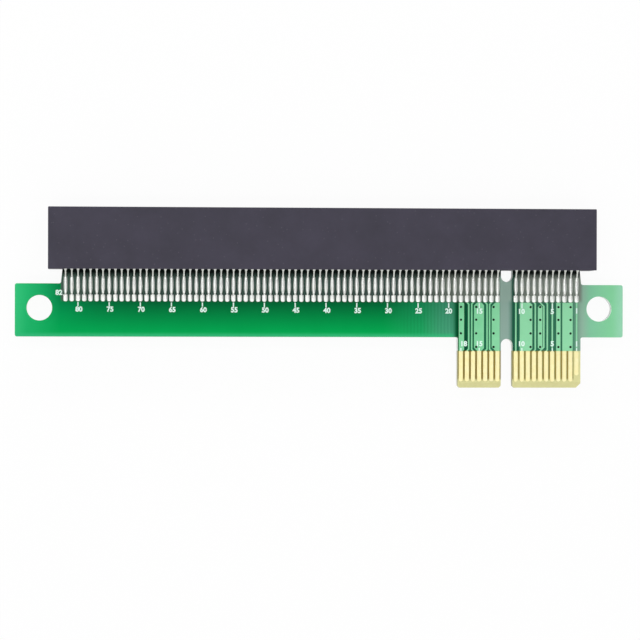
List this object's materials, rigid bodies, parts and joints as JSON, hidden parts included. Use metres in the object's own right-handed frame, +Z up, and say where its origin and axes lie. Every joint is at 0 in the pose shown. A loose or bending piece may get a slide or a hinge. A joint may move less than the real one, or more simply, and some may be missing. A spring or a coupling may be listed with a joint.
{
  "type": "pcie riser card",
  "caption": "Narrow green adapter board with a short gold-fingered tongue on one edge, a full-length keyed card slot on the other, and a mounting tab at each end.",
  "frame": {"origin": "under the middle of the whole card, on the plane of the slot housing's side that it lies on", "axes": "+X along the card towards pin 1, +Y from the gold fingers to the slot's mouth, +Z up through the board from side B to side A"},
  "size_m": [0.0988, 0.029, 0.0075],
  "materials": {
    "board": "glossy green solder mask over glass-fibre laminate",
    "housing": "moulded thermoplastic, lightly textured",
    "coated_copper": "copper under green solder mask",
    "gold": "flash gold plating",
    "contact": "tin-plated spring strip",
    "solder": "bright reflowed solder"
  },
  "bodies": {
    "root": {"circuit_board": "board", "coated_copper_side_a": "coated_copper", "coated_copper_side_b": "coated_copper", "contacts_side_a_01_11": "contact", "contacts_side_a_12_18": "contact", "contacts_side_a_19_32": "contact", "contacts_side_a_33_49": "contact", "contacts_side_a_50_82": "contact", "contacts_side_b_01_11": "contact", "contacts_side_b_12_18": "contact", "contacts_side_b_19_32": "contact", "contacts_side_b_33_49": "contact", "contacts_side_b_50_82": "contact", "gold_fingers_side_a": "gold", "gold_fingers_side_b": "gold", "slot_housing": "housing", "solder_side_a_01_11": "solder", "solder_side_a_12_18": "solder", "solder_side_a_19_32": "solder", "solder_side_a_33_49": "solder", "solder_side_a_50_82": "solder", "solder_side_b_01_11": "solder", "solder_side_b_12_18": "solder", "solder_side_b_19_32": "solder", "solder_side_b_33_49": "solder", "solder_side_b_50_82": "solder"}
  },
  "joints": []
}
